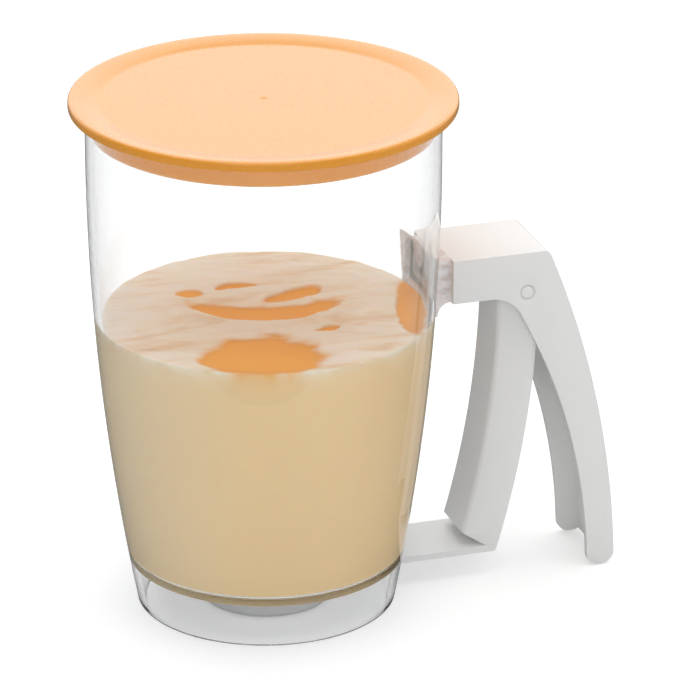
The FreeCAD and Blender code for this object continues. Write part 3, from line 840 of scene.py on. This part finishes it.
class DISPENSER_OT_handle(bpy.types.Operator):
    """Model the bracket and the fixed grip, a channel open towards the cup"""
    bl_idname = "dispenser.handle"
    bl_label = "Handle"

    def execute(self, context):
        s = context.scene.dispenser_handle
        bottom = BRACKET_TOP - s.bracket_height
        throat = (s.floor_end, bottom)
        outline = [(BRACKET_START, bottom), throat]
        outline += arc_through(throat, THROAT_MIDDLE, INNER_HIGH, 12)
        outline += arc_through(INNER_HIGH, INNER_MIDDLE, INNER_LOW, 36)
        back = arc_through(BACK_LOW, BACK_MIDDLE, BACK_TOP, 40)
        outline += [BACK_LOW, *back, (BRACKET_START, BRACKET_TOP)]
        outline = round_corner(outline, BACK_TOP, s.corner, 7)
        outline = round_corner(outline, BACK_LOW, s.tip, 9)
        outline = round_corner(outline, INNER_LOW, s.tip, 9)
        bm = slab(outline, HANDLE_HALF)
        side = [e for e in bm.edges if same_y(e) and self.outer(e)]
        soften(bm, side, s.edge, 5)
        handle = finish_mesh(bm, "white_handle")
        combine(handle, self.hollow(s), "DIFFERENCE")
        floor = bottom + s.wall
        slot_half = TONGUE_HALF + TONGUE_FIT
        slot = block((BRACKET_START - MM, -slot_half, floor),
                     (BRACKET_START + s.wall + MM, slot_half, floor + TONGUE_HEIGHT + 2 * TONGUE_FIT))
        combine(handle, slot, "DIFFERENCE")
        combine(handle, rod(PIVOT, PIN_R + 0.03 * MM, 2 * HANDLE_HALF), "DIFFERENCE")
        for side_y in (-1, 1):
            centre = PIVOT + Vector((0, side_y * HANDLE_HALF, 0))
            combine(handle, rod(centre, PIN_SINK_R, PIN_SINK), "DIFFERENCE")
        tidy(handle, 0.45 * MM, 38, 3)
        dress(handle, white_plastic(context), BODY, "handle")
        return {"FINISHED"}

    def outer(self, edge):
        """True on the top line, round the corner, down the back and round the tip."""
        middle = (edge.verts[0].co + edge.verts[1].co) / 2
        if middle.z > BRACKET_TOP - 2.9 * MM and middle.x > BRACKET_START + MM:
            return True
        inner_x = INNER_LINE(middle.z) if middle.z < INNER_HIGH[1] else INNER_HIGH[0]
        return middle.x > inner_x + 3 * MM and middle.z < BRACKET_TOP

    def hollow(self, s):
        """The channel in the grip, which runs out below, and the inside of the bracket."""
        roof = BRACKET_TOP - s.wall
        floor = BRACKET_TOP - s.bracket_height + s.wall
        start = BRACKET_START + s.wall
        low = (BACK_LOW[0] - s.wall + 0.15 * MM, GRIP_TIP_Z - MM)
        high = (BACK_TOP[0] - 1.2 * MM, BACK_TOP[1] - 4.2 * MM)
        middle = (BACK_MIDDLE[0] - s.wall, BACK_MIDDLE[1] - 0.5 * MM)
        outline = [(start, floor), (s.floor_end, floor), (s.floor_end, low[1]), low]
        outline += arc_through(low, middle, high, 40)
        outline += [(high[0] - 2 * MM, roof), (start, roof)]
        return slab(outline, HANDLE_HALF - s.wall)


def white_plastic(context):
    """The white plastic of the handle, the lever, the cap and the pin, made once."""
    existing = bpy.data.materials.get("white_plastic")
    colour = tuple(context.scene.dispenser_handle.colour)
    return existing or moulded("white_plastic", colour, 0.34, 0.00003, 0.12, 0.04)


# Side outline of the lever: its front is one long arc, and its foot slants down to the heel
FRONT_TOP = (82.9 * MM, 105.0 * MM)
FRONT_MIDDLE = (80.7 * MM, 70.0 * MM)
FRONT_FOOT = (70.2 * MM, 17.1 * MM)
HEEL_Z = 10.6 * MM
HEEL_FLAT = 1.5 * MM
FRONT_LINE = circle_x(FRONT_TOP, FRONT_MIDDLE, FRONT_FOOT)


def front_x(z):
    """Where the lever's front face lies at a height."""
    return FRONT_LINE(min(z, FRONT_TOP[1]))


class DISPENSER_OT_lever(bpy.types.Operator):
    """Model the trigger lever, a channel open to the rear, with its flat arm"""
    bl_idname = "dispenser.lever"
    bl_label = "Trigger lever"

    def execute(self, context):
        s = context.scene.dispenser_lever
        top = PIVOT.z + s.hub + MM
        low = HEEL_Z - 3 * MM
        lever = finish_mesh(self.channel(s, 0, s.depth + 3 * MM, low, top), "white_lever")
        combine(lever, slab(self.side(s), s.rear_half), "INTERSECT")
        inside = finish_mesh(self.channel(s, s.wall, s.depth + 6 * MM, low, top + 2 * MM), "inside")
        combine(inside, self.above_foot(s, top), "INTERSECT")
        combine(lever, taken_apart(inside), "DIFFERENCE")
        tidy(lever, 0.3 * MM, 50, 2)
        combine(lever, self.arm(s), "UNION")
        seal_room = rod((0, 0, 0), SEAL_R + 0.1 * MM, 2 * MM, 96)
        bmesh.ops.rotate(seal_room, cent=(0, 0, 0), matrix=Matrix.Rotation(math.pi / 2, 3, "X"),
                         verts=seal_room.verts)
        bmesh.ops.translate(seal_room, vec=(0, 0, s.arm_top + 0.6 * MM), verts=seal_room.verts)
        combine(lever, seal_room, "DIFFERENCE")
        combine(lever, rod(PIVOT, PIN_R + 0.05 * MM, HANDLE_HALF), "DIFFERENCE")
        tidy(lever, 0.0, 38)
        dress(lever, white_plastic(context), TRIGGER_BODY, "trigger_lever")
        return {"FINISHED"}

    def section(self, s, z, inset, rear):
        """Points of a level section with rounded front corners."""
        slope = (s.rear_half - s.front_half) / (s.depth - 2 * MM)
        x0 = front_x(z) + inset
        x1 = front_x(z) + rear
        half0 = s.front_half + slope * inset - inset
        half1 = s.front_half + slope * rear - inset
        soft = max(s.edge - inset, 0.8 * MM)
        run = math.hypot(1, slope)
        along = (x0 + soft / run, half0 + soft * slope / run)
        belly = (x0 + 0.29 * soft, half0 - 0.29 * soft)
        upper = [(x0, half0 - soft)] + arc_through((x0, half0 - soft), belly, along, 8)
        upper.append((x1, half1))
        lower = [(x, -y) for x, y in reversed(upper)]
        return upper + lower

    def channel(self, s, inset, rear, low, high):
        """Level sections bridged into one curved bar."""
        steps = 48
        bm = bmesh.new()
        rings = []
        for i in range(steps + 1):
            z = low + (high - low) * i / steps
            verts = [bm.verts.new((x, y, z)) for x, y in self.section(s, z, inset, rear)]
            rings.append([bm.edges.new((verts[k], verts[(k + 1) % len(verts)]))
                          for k in range(len(verts))])
        for first, second in zip(rings, rings[1:]):
            bmesh.ops.bridge_loops(bm, edges=first + second)
        for ring in (rings[0], rings[-1]):
            bmesh.ops.contextual_create(bm, geom=ring)
        bmesh.ops.recalc_face_normals(bm, faces=bm.faces)
        return bm

    def side(self, s):
        """Side outline with the slanted foot and the round hub."""
        rear_foot = (front_x(HEEL_Z) + s.depth, HEEL_Z)
        rear_high = (front_x(90 * MM) + s.depth, 90 * MM)
        front = FRONT_FOOT[0] - MM
        outline = [(front, self.foot(s, front)), (rear_foot[0] - HEEL_FLAT, HEEL_Z), rear_foot]
        outline += arc_through(rear_foot, (front_x(60 * MM) + s.depth, 60 * MM), rear_high, 30)
        outline.append((PIVOT.x + s.hub, PIVOT.z))
        outline += arc_through(outline[-1], (PIVOT.x, PIVOT.z + s.hub), (PIVOT.x - s.hub, PIVOT.z), 24)
        outline += [(FRONT_TOP[0] - MM, FRONT_TOP[1]), (FRONT_TOP[0] - MM, 90 * MM),
                    (FRONT_FOOT[0] - MM, 60 * MM)]
        return outline

    def foot_slope(self, s):
        """How steeply the foot falls from the front line to the heel."""
        return (FRONT_FOOT[1] - HEEL_Z) / (front_x(HEEL_Z) + s.depth - HEEL_FLAT - FRONT_FOOT[0])

    def foot(self, s, x):
        """Height of the slanted foot."""
        return FRONT_FOOT[1] - (x - FRONT_FOOT[0]) * self.foot_slope(s)

    def above_foot(self, s, top):
        """Everything above the lever's slanted floor and the arm."""
        slope = self.foot_slope(s)
        lift = s.wall * math.hypot(1, slope)
        front = FRONT_FOOT[0] - s.depth
        back = FRONT_FOOT[0] + 4 * s.depth
        meet = FRONT_FOOT[0] + (FRONT_FOOT[1] + lift - s.arm_top) / slope
        return slab([(front, self.foot(s, front) + lift), (meet, s.arm_top), (back, s.arm_top),
                     (back, top + 4 * MM), (front, top + 4 * MM)], HANDLE_HALF)

    def arm(self, s):
        """The flat arm and the round seat at its end."""
        heel = front_x(HEEL_Z) + s.depth - 0.05 * MM
        low = s.arm_top - s.arm_thick
        bm = block((0, -s.rear_half, low), (heel, s.rear_half, s.arm_top))
        rear = [e for e in bm.edges if all(v.co.x > heel - MM / 10 and v.co.z < low + MM / 10
                                           for v in e.verts)]
        soften(bm, rear, s.arm_thick / 2, 4)
        plate = finish_mesh(bm, "plate")
        seat = spun([(0, low), (s.seat, low), (s.seat, s.arm_top), (0, s.arm_top)], 96)
        combine(plate, seat, "UNION")
        tidy(plate)
        return taken_apart(plate)


class DISPENSER_OT_valve(bpy.types.Operator):
    """Model the valve cap with its ribs, and the silicone seal"""
    bl_idname = "dispenser.valve"
    bl_label = "Valve cap and seal"

    def execute(self, context):
        low = cap_box[0][2]
        high = cap_box[1][2]
        seat = context.scene.dispenser_lever.seat
        soft = 2 * MM
        wall = 2.2 * MM
        chamfer = 0.4 * MM
        rib_half = 0.8 * MM
        shoulder = high - 0.7 * MM
        bend = soft * BEND
        outline = [(0, shoulder - wall), (CAP_R - wall, shoulder - wall), (CAP_R - wall, low),
                   (CAP_R - soft, low)]
        outline += arc_through(outline[-1], (CAP_R - bend, low + bend), (CAP_R, low + soft), 8)
        outline += [(CAP_R, shoulder - chamfer), (CAP_R - chamfer, shoulder), (seat, high), (0, high)]
        cap = finish_mesh(spun(outline, 128), "white_cap")
        for i in range(3):
            bm = block((wall / 2 - CAP_R, -rib_half, low),
                       (CAP_R - wall / 2, rib_half, shoulder - wall / 2))
            bmesh.ops.rotate(bm, cent=(0, 0, 0), matrix=Matrix.Rotation(math.pi * i / 3, 3, "Z"),
                             verts=bm.verts)
            combine(cap, bm, "UNION")
        tidy(cap, 0.0, 35)
        dress(cap, white_plastic(context), TRIGGER_BODY, "valve_cap")
        self.seal()
        return {"FINISHED"}

    def seal(self):
        """Model the seal: a flat disc with a low dome that reaches into the outlet."""
        low = seal_box[0][2]
        peak = seal_box[1][2]
        high = peak - 1.2 * MM
        chamfer = 0.3 * MM
        outline = [(0, low), (SEAL_R, low), (SEAL_R, high - chamfer), (SEAL_R - chamfer, high),
                   (7.6 * MM, high)]
        outline += arc_through(outline[-1], (5.05 * MM, high + 0.84 * MM), (2.5 * MM, peak), 8)
        outline.append((0, peak))
        seal = finish_mesh(spun(outline, 96), "silicone_seal")
        dress(seal, moulded("silicone", (0.72, 0.72, 0.70), 0.5, 0.00002, 0.0, 0.2),
              TRIGGER_BODY, "outlet_seal")


class DISPENSER_OT_metal(bpy.types.Operator):
    """Model the pin and finish the spring and the screws"""
    bl_idname = "dispenser.metal"
    bl_label = "Pin, spring and screws"

    def execute(self, context):
        bm = rod(PIVOT, PIN_R, HANDLE_HALF - 0.05 * MM, 64)
        rims = [e for e in bm.edges if same_y(e)]
        soften(bm, rims, 0.7 * MM, 5)
        pin = finish_mesh(bm, "pin")
        dress(pin, white_plastic(context), BODY, "pivot_pin")
        bright = steel("spring_steel", (0.62, 0.62, 0.64), 0.28, (1, 6, 1))
        for node in ("return_spring", "handle_screws"):
            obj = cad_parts[node]
            obj.data.materials.clear()
            obj.data.materials.append(bright)
        return {"FINISHED"}


# Smooth pools in the froth, in millimetres along the photograph's width and depth:
# centre, half width, half depth, tilt and bend
POOLS = (
    (0.0, -41.0, 21.0, 18.0, 0.0, 0.0),
    (1.0, -2.0, 28.0, 6.8, 0.10, 0.016),
    (9.5, 16.0, 10.5, 5.5, 0.55, 0.0),
    (-11.0, 24.0, 7.5, 3.2, 0.25, 0.0),
    (-27.0, 17.0, 5.0, 4.5, 0.0, 0.0),
    (22.0, -15.0, 5.0, 2.2, 0.5, 0.0),
    (51.5, 5.0, 5.5, 24.0, 0.0, 0.0),
)


def smooth(low, high, value):
    """Rise softly from 0 at the first value to 1 at the second."""
    share = max(0.0, min(1.0, (value - low) / (high - low)))
    return share * share * (3 - 2 * share)


def pool_share(u, v):
    """How far a place lies in a pool, from 0 on the froth to 1."""
    ragged = noise.fractal(Vector((u / 11, v / 6, 5.0)), 1.0, 2.0, 3)
    best = 0.0
    for cu, cv, half_u, half_v, tilt, bend in POOLS:
        across = u - cu
        away = v - cv - tilt * across - bend * across**2
        distance = math.hypot(across / half_u, away / half_v) + 0.18 * ragged
        best = max(best, smooth(1.12, 0.88, distance))
    return best


def fold_height(u, v):
    """Long folds of the froth, one behind the other, from 0 to 1."""
    wander = 5 * noise.noise(Vector((u / 30, v / 22, 9.0)))
    folds = noise.fractal(Vector((u / 34, (v + wander) / 9, 0.7)), 0.9, 2.1, 4)
    ridge = 1 - abs(noise.noise(Vector((u / 40, (v + wander) / 7, 3.3)))) * 2.4
    lip = math.exp(-((v + 13.5 - 0.012 * u**2) / 3.5)**2) * smooth(45, 25, abs(u))
    return max(0.0, min(1.0, 0.48 + 0.22 * folds + 0.14 * ridge + 0.35 * lip))


# The batter leaves the chamber's corner free from this radius to this height, where the clear
# wall is thick
CORNER_FROM_R = 39.5 * MM
CORNER_TO_Z = 20 * MM


class DISPENSER_OT_batter(bpy.types.Operator):
    """Model the batter that fills the lower half of the cup"""
    bl_idname = "dispenser.batter"
    bl_label = "Batter"

    def execute(self, context):
        look = context.scene.dispenser_batter
        outline, top_r = self.outline(context.scene.dispenser_cup, look.level)
        bm = spun(outline, 320)
        self.froth(bm, look, top_r)
        batter = finish_mesh(bm, "batter", 60)
        dress(batter, batter_material(look), BODY)
        return {"FINISHED"}

    def outline(self, s, level):
        """From the outlet up the wall and over the surface, and the surface's radius."""
        sink = 0.15 * MM
        rings = 120
        wall = chamber_line(s, sink, level)
        low = floor_height(s, s.outlet_radius) - sink
        top_r = wall[-1][0]
        outline = [(0, low), (s.outlet_radius, low),
                   (CORNER_FROM_R, floor_height(s, CORNER_FROM_R) - sink),
                   (cup_radius(s, CORNER_TO_Z) - s.wall + sink, CORNER_TO_Z)]
        outline += [(r, z) for r, z in wall[:-1]
                    if z > CORNER_TO_Z + MM and r > CORNER_FROM_R + 5 * MM]
        outline += [(cup_radius(s, level - depth * MM) - s.wall + sink, level - depth * MM)
                    for depth in (3.2, 2.6, 2.0, 1.4, 0.9, 0.4)]
        outline += [(top_r * (1 - i / rings), level) for i in range(rings + 1)]
        return outline, top_r

    def froth(self, bm, look, top_r):
        """Fold the surface, sink its pools, and note both on its points for the material."""
        fold = bm.verts.layers.float.new("fold")
        pool = bm.verts.layers.float.new("pool")
        top = bm.verts.layers.float.new("top")
        for vert in bm.verts:
            depth = look.level - vert.co.z
            radius = math.hypot(vert.co.x, vert.co.y)
            if depth > 8 * MM or radius < MM / 100 and depth > MM:
                continue
            u = (vert.co.x * math.cos(VIEW_TURN) + vert.co.y * math.sin(VIEW_TURN)) / MM
            v = (vert.co.y * math.cos(VIEW_TURN) - vert.co.x * math.sin(VIEW_TURN)) / MM
            height = fold_height(u, v)
            deep = pool_share(u, v)
            vert[fold] = height
            vert[pool] = deep
            vert[top] = math.exp(-depth / (2.2 * MM))
            if depth < MM / 10:
                hold = smooth(0, 6 * MM, top_r - radius)
                lift = (height - 0.55) * (1 - deep) - 0.25 * deep
                vert.co.z += look.swell * lift * (0.15 + 0.85 * hold)


# Light added to what the camera sees of the floor, and the grey that reflections see of it
FLOOR_LIFT = 0.32
FLOOR_MIRRORED = 0.12

# Name, place, width, height and power of each lamp, and the place that all of them point at
LAMPS = (
    ("over", (0.05, 0.1, 2.4), 3.0, 3.0, 50),
    ("front", (-0.55, -1.45, 0.9), 1.2, 1.0, 5.5),
    ("right", (1.5, -0.7, 0.8), 1.0, 1.2, 3),
    ("back", (0.9, 2.8, 1.45), 4.0, 1.6, 12),
)
LAMP_AIM = Vector((0.02, 0, 0.1))

# The photograph's view, besides its turn: how far it looks down, at what, from where and how near
VIEW_DOWN = math.radians(22.2786)
VIEW_TARGET = Vector((0.025033, -0.008134, 0.096692))
VIEW_DISTANCE = 1.768356
VIEW_LENS = 267.0
VIEW_SENSOR = 36


class DISPENSER_OT_stage(bpy.types.Operator):
    """Set the floor, the lamps and the camera"""
    bl_idname = "dispenser.stage"
    bl_label = "Stage"

    def execute(self, context):
        self.floor()
        self.world(context)
        for lamp in LAMPS:
            self.lamp(*lamp)
        self.camera(context)
        context.scene.view_settings.view_transform = "Standard"
        return {"FINISHED"}

    def floor(self):
        """Lay pale paper, whose shadow alone looks grey."""
        bm = bmesh.new()
        bmesh.ops.create_grid(bm, x_segments=2, y_segments=2, size=6)
        floor = finish_mesh(bm, "floor")
        material, nodes, links, shader = new_material("floor_paper")
        grain = object_noise(nodes, links, 300, 2, 0.5)
        tone = ramp(nodes, links, grain, [(0.3, grey(0.92)), (0.7, grey(0.94))])
        path = nodes.new("ShaderNodeLightPath")
        # A ray bent through clear plastic is no reflection
        mirror = calculated(nodes, links, "SUBTRACT", path.outputs["Is Glossy Ray"],
                            path.outputs["Is Transmission Ray"], clamp=True)
        plain = calculated(nodes, links, "MAXIMUM", path.outputs["Is Diffuse Ray"], mirror)
        lift = calculated(nodes, links, "MULTIPLY_ADD", plain, -FLOOR_LIFT, FLOOR_LIFT)
        # Reflections see a dim floor, as they see a dim front of the studio
        colour = mixed(nodes, links, mirror, tone, grey(FLOOR_MIRRORED))
        links.new(colour, shader.inputs["Base Color"])
        links.new(lift, shader.inputs["Emission Strength"])
        fill(shader, {"Roughness": 0.7, "Emission Color": grey(1)})
        floor.data.materials.append(material)

    def world(self, context):
        """Light from all round, white to the camera."""
        world = bpy.data.worlds.new("studio")
        context.scene.world = world
        world.use_nodes = True
        nodes = world.node_tree.nodes
        links = world.node_tree.links
        soft = nodes["Background"]
        fill(soft, {"Color": (0.96, 0.98, 1, 1), "Strength": 0.25})
        # Reflections and clear walls see a white back of the studio and a dim front
        where = nodes.new("ShaderNodeTexCoord")
        depth = nodes.new("ShaderNodeVectorMath")
        depth.operation = "DOT_PRODUCT"
        depth.inputs[1].default_value = (-math.sin(VIEW_TURN), math.cos(VIEW_TURN), 0)
        links.new(where.outputs["Generated"], depth.inputs[0])
        room = ramp(nodes, links, depth.outputs["Value"],
                    [(0.0, grey(0.08)), (0.15, grey(0.2)), (0.6, grey(1))])
        studio = nodes.new("ShaderNodeBackground")
        links.new(room, studio.inputs["Color"])
        white = nodes.new("ShaderNodeBackground")
        path = nodes.new("ShaderNodeLightPath")
        seen = calculated(nodes, links, "MAXIMUM", path.outputs["Is Glossy Ray"],
                          path.outputs["Is Transmission Ray"])
        mirrored = mixed_shader(nodes, links, seen, soft.outputs["Background"],
                                studio.outputs["Background"])
        surface = mixed_shader(nodes, links, path.outputs["Is Camera Ray"], mirrored,
                               white.outputs["Background"])
        links.new(surface, nodes["World Output"].inputs["Surface"])

    def lamp(self, name, place, width, height, power):
        """Hang a flat lamp that points at the piece."""
        light = bpy.data.lights.new(name, "AREA")
        light.shape = "RECTANGLE"
        light.size = width
        light.size_y = height
        light.energy = power
        obj = bpy.data.objects.new(name, light)
        bpy.context.scene.collection.objects.link(obj)
        obj.visible_camera = False
        obj.location = place
        obj.rotation_euler = (LAMP_AIM - Vector(place)).to_track_quat("-Z", "Y").to_euler()

    def camera(self, context):
        """Stand the camera where the photograph was taken."""
        back = Vector((math.sin(VIEW_TURN) * math.cos(VIEW_DOWN),
                       -math.cos(VIEW_TURN) * math.cos(VIEW_DOWN), math.sin(VIEW_DOWN)))
        data = bpy.data.cameras.new("camera")
        data.sensor_width = VIEW_SENSOR
        data.lens = VIEW_LENS
        camera = bpy.data.objects.new("camera", data)
        context.scene.collection.objects.link(camera)
        camera.location = VIEW_TARGET + back * VIEW_DISTANCE
        camera.rotation_euler = (-back).to_track_quat("-Z", "Y").to_euler()
        context.scene.camera = camera


class DISPENSER_PT_panel(bpy.types.Panel):
    bl_idname = "DISPENSER_PT_panel"
    bl_label = "Batter dispenser"
    bl_space_type = "VIEW_3D"
    bl_region_type = "UI"
    bl_category = "Dispenser"

    def draw(self, context):
        for group in GROUPS:
            settings = getattr(context.scene, group)
            column = self.layout.column(heading=group)
            for name in settings.__annotations__:
                column.prop(settings, name)
        for operator in OPERATORS:
            self.layout.operator(operator.bl_idname)


OPERATORS = (
    DISPENSER_OT_cup,
    DISPENSER_OT_lid,
    DISPENSER_OT_handle,
    DISPENSER_OT_lever,
    DISPENSER_OT_valve,
    DISPENSER_OT_metal,
    DISPENSER_OT_batter,
    DISPENSER_OT_stage,
)


def register():
    for cls in (*GROUPS.values(), *OPERATORS, DISPENSER_PT_panel):
        bpy.utils.register_class(cls)
    for name, group in GROUPS.items():
        setattr(bpy.types.Scene, name, PointerProperty(type=group))


def unregister():
    for name in GROUPS:
        delattr(bpy.types.Scene, name)
    for cls in reversed((*GROUPS.values(), *OPERATORS, DISPENSER_PT_panel)):
        bpy.utils.unregister_class(cls)


def main():
    register()
    bpy.ops.dispenser.cup()
    bpy.ops.dispenser.lid()
    bpy.ops.dispenser.handle()
    bpy.ops.dispenser.lever()
    bpy.ops.dispenser.valve()
    bpy.ops.dispenser.metal()
    bpy.ops.dispenser.batter()
    bpy.ops.dispenser.stage()


if __name__ == "__main__":
    main()
